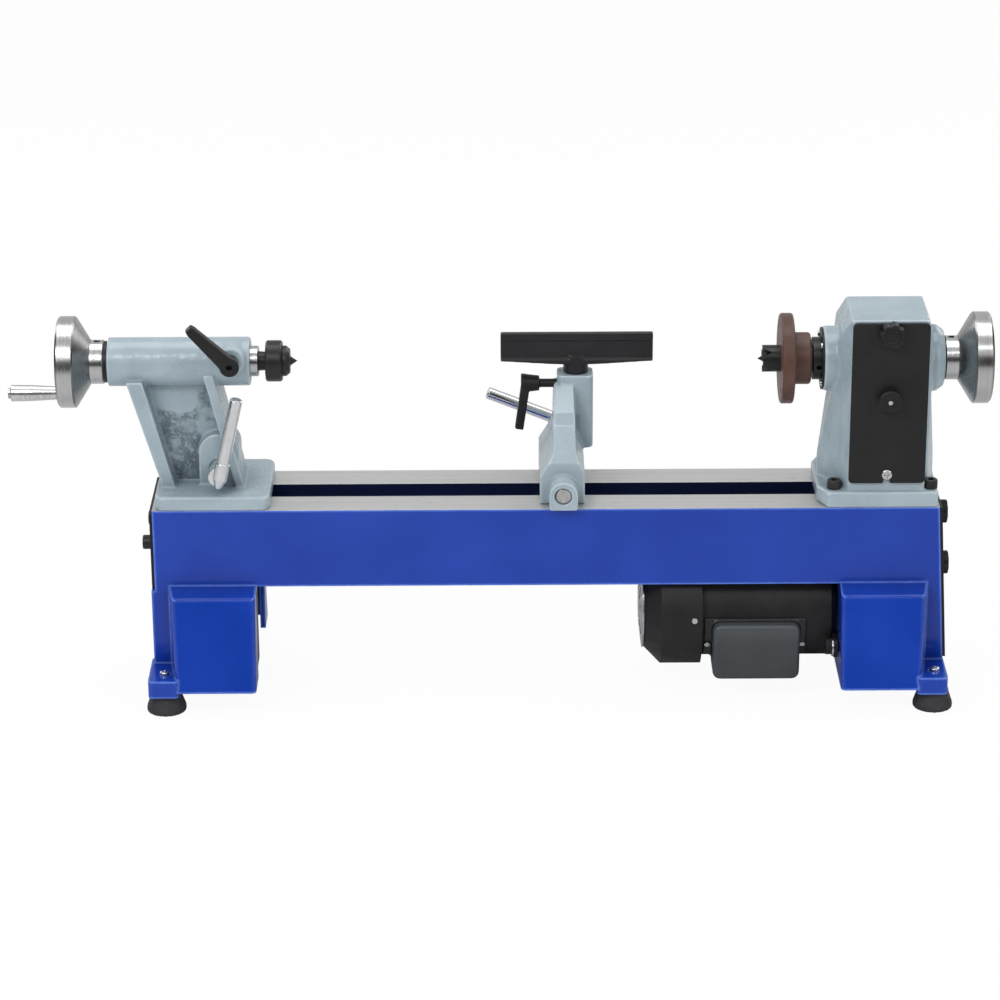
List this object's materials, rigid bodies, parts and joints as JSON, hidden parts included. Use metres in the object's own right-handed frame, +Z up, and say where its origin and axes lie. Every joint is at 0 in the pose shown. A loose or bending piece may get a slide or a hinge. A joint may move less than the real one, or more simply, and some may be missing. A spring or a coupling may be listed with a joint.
{
  "type": "wood lathe",
  "caption": "Benchtop wood lathe with cast bed on hollow legs, belt driven headstock with faceplate and spur centre, sliding tailstock and adjustable tool rest.",
  "frame": {"origin": "middle of the base, on the surface the feet stand on", "axes": "+X along the bed towards the headstock's outboard handwheel, +Y towards the operator's side, +Z up"},
  "size_m": [0.8946, 0.2432, 0.365],
  "materials": {
    "blue_paint": "gloss enamel on cast iron",
    "grey_paint": "semi gloss paint on rough casting",
    "black_plate": "satin black sheet",
    "black_plastic": "moulded plastic",
    "black_screws": "black oxide",
    "bright_screws": "zinc plated",
    "rubber": "moulded rubber",
    "bearing_steel": "ground steel",
    "steel": "machined steel",
    "clamp_iron": "dark iron",
    "turned_aluminium": "turned and polished",
    "pulley_aluminium": "machined",
    "grip": "turned",
    "black_oxide": "black oxide",
    "brown_plate": "brown oxide",
    "chrome": "polished",
    "blade": "satin black casting",
    "motor_black": "matte powder coat",
    "capacitor": "moulded plastic",
    "grille": "pressed",
    "belt": "ribbed belt",
    "start": "moulded",
    "stop": "moulded"
  },
  "bodies": {
    "stand": {"bed": "blue_paint", "feet": "rubber", "foot_bolts": "bright_screws", "headstock": "grey_paint", "headstock_bolts": "black_screws", "bearings": "bearing_steel", "bearing_cap": "black_plate", "bearing_cap_screws": "bright_screws", "rear_cover": "black_plate", "cover_pull": "black_plastic", "cover_screws": "bright_screws", "end_plate": "black_plate", "end_plate_bolts": "black_screws", "end_cover": "black_plate", "switch_box": "black_plastic", "wiring_box": "black_plastic", "drive_belt": "belt"},
    "cover_knob": {"cover_knob": "black_plastic"},
    "end_knob_upper": {"end_cover_knob_upper": "black_plastic"},
    "end_knob_lower": {"end_cover_knob_lower": "black_plastic"},
    "start_button": {"start_button": "start"},
    "stop_button": {"stop_button": "stop"},
    "spindle": {"spindle": "black_oxide", "faceplate": "brown_plate", "spur_centre": "black_oxide", "spindle_handwheel": "turned_aluminium", "spindle_pulley": "pulley_aluminium"},
    "motor": {"motor_housing": "motor_black", "motor_end_bell": "motor_black", "motor_bolts": "motor_black", "motor_washers": "bright_screws", "fan_shroud": "motor_black", "fan_grille": "grille", "capacitor_cover": "capacitor", "motor_screws": "bright_screws"},
    "rotor": {"rotor_shaft": "bearing_steel", "motor_fan": "capacitor", "motor_pulley": "pulley_aluminium"},
    "tailstock": {"tailstock": "grey_paint", "tail_clamp_bolt": "steel", "tail_clamp_plate": "clamp_iron"},
    "tail_clamp": {"tail_clamp_shaft": "chrome", "tail_clamp_lever": "chrome"},
    "quill_lock": {"quill_lock_lever": "black_plastic"},
    "tail_wheel": {"tail_handwheel": "turned_aluminium", "tail_lead_screw": "bearing_steel", "tail_ring": "black_plate", "crank_stud": "steel"},
    "crank": {"crank_grip": "grip"},
    "quill": {"quill": "bearing_steel", "live_centre_body": "black_oxide"},
    "live_point": {"live_centre_point": "black_oxide"},
    "rest_clamp": {"banjo_clamp_plate": "clamp_iron"},
    "rest_pivot": {"banjo_eye_bolt": "steel"},
    "banjo": {"banjo": "grey_paint"},
    "banjo_lock": {"banjo_rod": "steel", "banjo_lever": "chrome"},
    "rest_lock": {"rest_lock_lever": "black_plastic"},
    "rest_post": {"tool_rest_post": "steel"},
    "rest_blade": {"tool_rest_blade": "blade"}
  },
  "joints": [
    {"name": "cover_knob_turn", "type": "hinge", "parent": "stand", "child": "cover_knob", "pos_m": [0.35275, -0.0764, 0.3535], "axis": [0, -1, 0], "continuous": true},
    {"name": "end_knob_upper_turn", "type": "hinge", "parent": "stand", "child": "end_knob_upper", "pos_m": [0.40195, -0.0284, 0.16275], "axis": [1, 0, 0], "continuous": true},
    {"name": "end_knob_lower_turn", "type": "hinge", "parent": "stand", "child": "end_knob_lower", "pos_m": [0.40195, -0.0284, 0.11175], "axis": [1, 0, 0], "continuous": true},
    {"name": "start_press", "type": "slide", "parent": "stand", "child": "start_button", "axis": [0, -1, 0], "range_m": [0, 0.003], "stiffness_N_per_m": 600},
    {"name": "stop_press", "type": "slide", "parent": "stand", "child": "stop_button", "axis": [0, -1, 0], "range_m": [0, 0.003], "stiffness_N_per_m": 600},
    {"name": "spindle_turn", "type": "hinge", "parent": "stand", "child": "spindle", "pos_m": [0.00125, -0.0284, 0.3135], "axis": [1, 0, 0], "continuous": true},
    {"name": "motor_swing", "type": "hinge", "parent": "stand", "child": "motor", "pos_m": [0.31321, 0.0276, 0.0505], "axis": [1, 0, 0], "range_deg": [-1.5, 1.5], "deforming": ["drive_belt"]},
    {"name": "rotor_turn", "type": "hinge", "parent": "motor", "child": "rotor", "pos_m": [0.00125, -0.0284, 0.0715], "axis": [1, 0, 0], "continuous": true},
    {"name": "tailstock_slide", "type": "slide", "parent": "stand", "child": "tailstock", "axis": [1, 0, 0], "range_m": [0, 0.235]},
    {"name": "tail_clamp_turn", "type": "hinge", "parent": "tailstock", "child": "tail_clamp", "pos_m": [-0.25575, -0.0284, 0.2162], "axis": [0, 1, 0], "range_deg": [-60, 40]},
    {"name": "quill_lock_turn", "type": "hinge", "parent": "tailstock", "child": "quill_lock", "pos_m": [-0.24145, -0.0684, 0.323], "axis": [0, 1, 0], "range_deg": [-60, 90]},
    {"name": "tail_wheel_turn", "type": "hinge", "parent": "tailstock", "child": "tail_wheel", "pos_m": [-0.35475, -0.0284, 0.3135], "axis": [1, 0, 0], "range_deg": [-1410, 5660]},
    {"name": "crank_turn", "type": "hinge", "parent": "tail_wheel", "child": "crank", "pos_m": [-0.44735, -0.0284, 0.2835], "axis": [1, 0, 0], "continuous": true},
    {"name": "quill_slide", "type": "slide", "parent": "tailstock", "child": "quill", "axis": [1, 0, 0], "range_m": [-0.01, 0.04]},
    {"name": "live_point_turn", "type": "hinge", "parent": "quill", "child": "live_point", "pos_m": [-0.21775, -0.0284, 0.3135], "axis": [1, 0, 0], "continuous": true},
    {"name": "rest_travel", "type": "slide", "parent": "stand", "child": "rest_clamp", "axis": [1, 0, 0], "range_m": [-0.2, 0.075]},
    {"name": "rest_turn", "type": "hinge", "parent": "rest_clamp", "child": "rest_pivot", "pos_m": [0.05905, -0.0284, 0.1865], "axis": [0, 0, -1], "range_deg": [-20, 20]},
    {"name": "banjo_slide", "type": "slide", "parent": "rest_pivot", "child": "banjo", "axis": [0, -1, 0], "range_m": [-0.025, 0.02]},
    {"name": "banjo_lock_turn", "type": "hinge", "parent": "banjo", "child": "banjo_lock", "pos_m": [0.05905, -0.0284, 0.2025], "axis": [0, 1, 0], "range_deg": [-50, 110]},
    {"name": "rest_lock_turn", "type": "hinge", "parent": "banjo", "child": "rest_lock", "pos_m": [0.03825, 0.0216, 0.2728], "axis": [1, 0, 0], "range_deg": [-90, 90]},
    {"name": "rest_lift", "type": "slide", "parent": "banjo", "child": "rest_post", "axis": [0, 0, 1], "range_m": [0, 0.035]},
    {"name": "rest_swivel", "type": "hinge", "parent": "rest_post", "child": "rest_blade", "pos_m": [0.07195, 0.0216, 0.1865], "axis": [0, 0, 1], "continuous": true}
  ],
  "couplings": [
    {"joint": "spindle_turn", "follows": "rotor_turn", "ratio": 0.96296},
    {"joint": "quill_slide", "follows": "tail_wheel_turn", "m_per_rad": 0.00040425}
  ]
}
